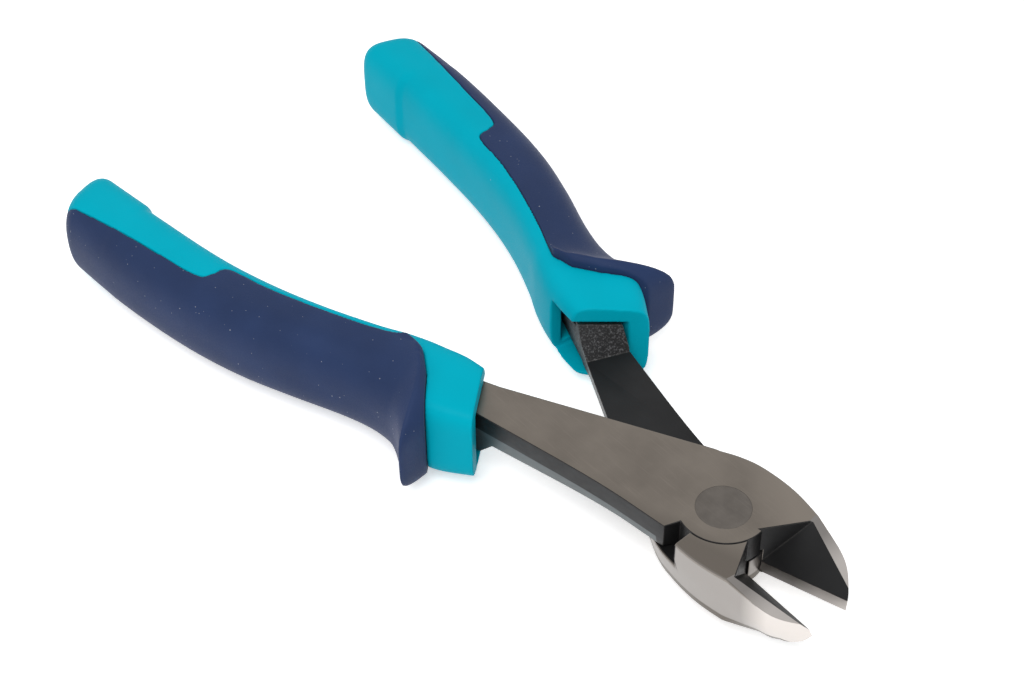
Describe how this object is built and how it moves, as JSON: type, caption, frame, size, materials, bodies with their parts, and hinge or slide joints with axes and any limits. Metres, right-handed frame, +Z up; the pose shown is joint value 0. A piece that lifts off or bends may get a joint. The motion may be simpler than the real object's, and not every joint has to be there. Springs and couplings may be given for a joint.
{
  "type": "diagonal cutter",
  "caption": "Diagonal cutting pliers with lap-jointed steel levers on a flush rivet, open bevelled jaws and two-component grips with finger guards.",
  "frame": {"origin": "centre of the rivet's upper face, on the pivot axis", "axes": "+Z up out of the head's upper face, along the pivot axis; +X towards the jaw tips along the line that halves the jaw opening"},
  "size_m": [0.1744, 0.0942, 0.0234],
  "materials": {
    "ground_steel": "ground faces and jaw walls, black oxide on the arms, bevels and notches",
    "rivet_steel": "ground flush",
    "teal_plastic": "satin moulded",
    "navy_rubber": "matt soft-touch"
  },
  "bodies": {
    "upper_half": {"upper_lever": "ground_steel", "pivot_rivet": "rivet_steel", "left_grip_core": "teal_plastic", "left_grip_cover": "navy_rubber"},
    "lower_half": {"lower_lever": "ground_steel", "right_grip_core": "teal_plastic", "right_grip_cover": "navy_rubber"}
  },
  "joints": [
    {"name": "pivot", "type": "hinge", "parent": "upper_half", "child": "lower_half", "pos_m": [0, 0, 0], "axis": [0, 0, 1], "range_deg": [-19.5, 17.5]}
  ]
}
